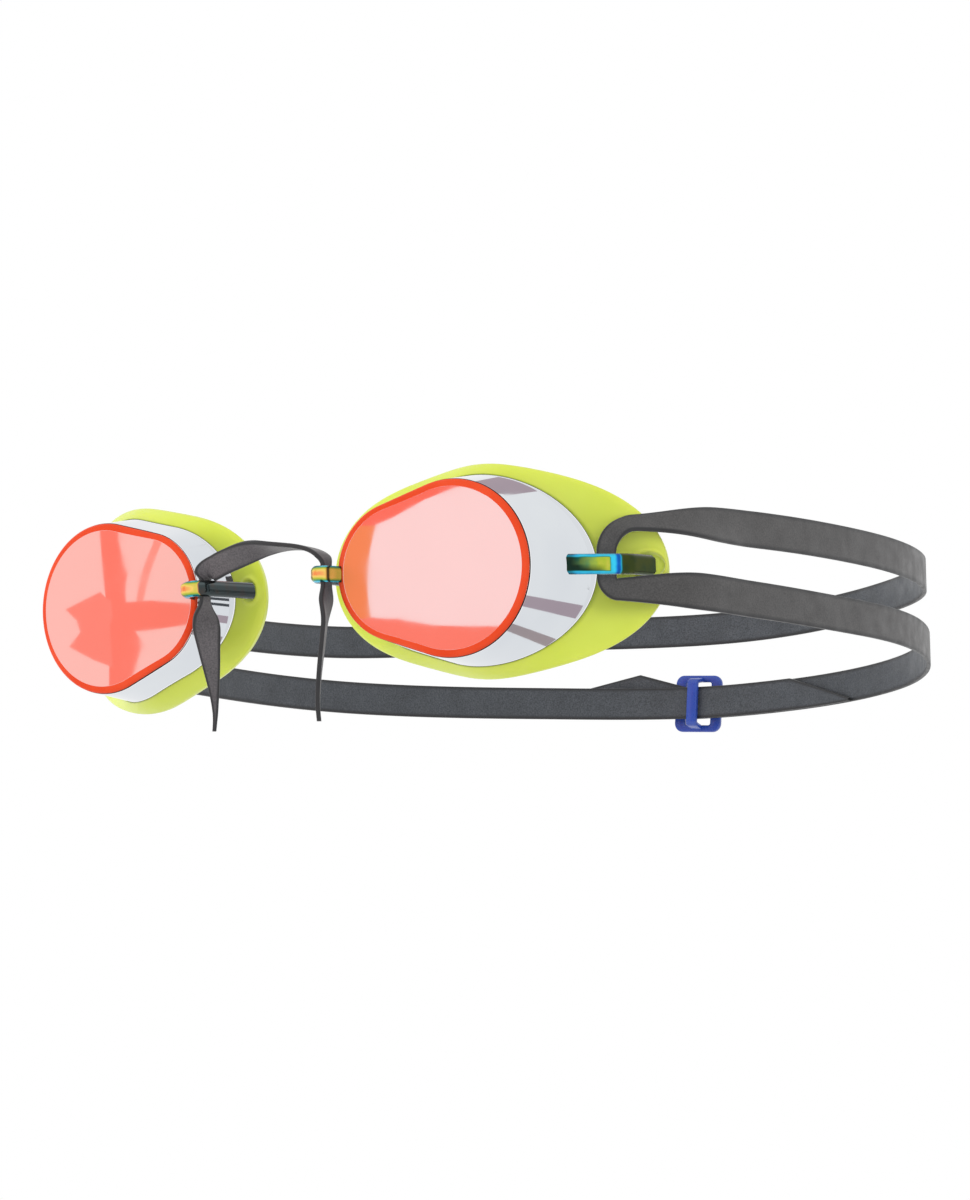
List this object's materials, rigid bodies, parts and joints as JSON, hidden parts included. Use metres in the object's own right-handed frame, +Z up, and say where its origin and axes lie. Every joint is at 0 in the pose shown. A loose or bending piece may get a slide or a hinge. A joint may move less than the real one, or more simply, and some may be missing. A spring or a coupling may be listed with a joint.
{
  "type": "swim goggles",
  "caption": "Racing swim goggles: mirrored lens cups with soft face gaskets, an adjustable nose strap and a double-run head strap closed by a slide buckle.",
  "frame": {"origin": "bridge of the nose, midway between the eyepieces and level with the nose edges of their gaskets, where the goggles meet the face", "axes": "+Z up, +Y towards the wearer's head (the strap loop lies on that side), +X towards the wearer's left"},
  "size_m": [0.1633, 0.1961, 0.0498],
  "materials": {
    "mirrored_lens": "mirror-coated polycarbonate: coral on the lens front, silver on the side wall",
    "lime_gasket": "translucent soft elastomer",
    "dark_latex": "matt flat latex strip",
    "blue_plastic": "gloss moulded plastic"
  },
  "bodies": {
    "nose_link": {"nose_strap": "dark_latex"},
    "left_eyepiece": {"left_lens_cup": "mirrored_lens", "left_gasket": "lime_gasket"},
    "right_eyepiece": {"right_lens_cup": "mirrored_lens", "right_gasket": "lime_gasket"},
    "head_band": {"head_strap": "dark_latex"},
    "buckle": {"buckle": "blue_plastic"}
  },
  "joints": [
    {"name": "nose_gap", "type": "slide", "parent": "nose_link", "child": "left_eyepiece", "axis": [1, 0, 0], "range_m": [-0.004, 0.005], "deforming": ["nose_strap", "head_strap"]},
    {"name": "nose_fold", "type": "hinge", "parent": "nose_link", "child": "right_eyepiece", "pos_m": [-0.01492, -0.01403, 0.0008], "axis": [0, 0, 1], "range_deg": [-15, 15], "deforming": ["nose_strap", "head_strap"]},
    {"name": "strap_swing", "type": "hinge", "parent": "nose_link", "child": "head_band", "pos_m": [0, 0.01063, 0.00093], "axis": [1, 0, 0], "range_deg": [-45, 60], "deforming": ["head_strap"]},
    {"name": "buckle_slide", "type": "hinge", "parent": "head_band", "child": "buckle", "pos_m": [-0.00241, 0.08889, -0.00466], "axis": [0, 0, 1], "range_deg": [-4, 0], "deforming": ["head_strap"]}
  ]
}
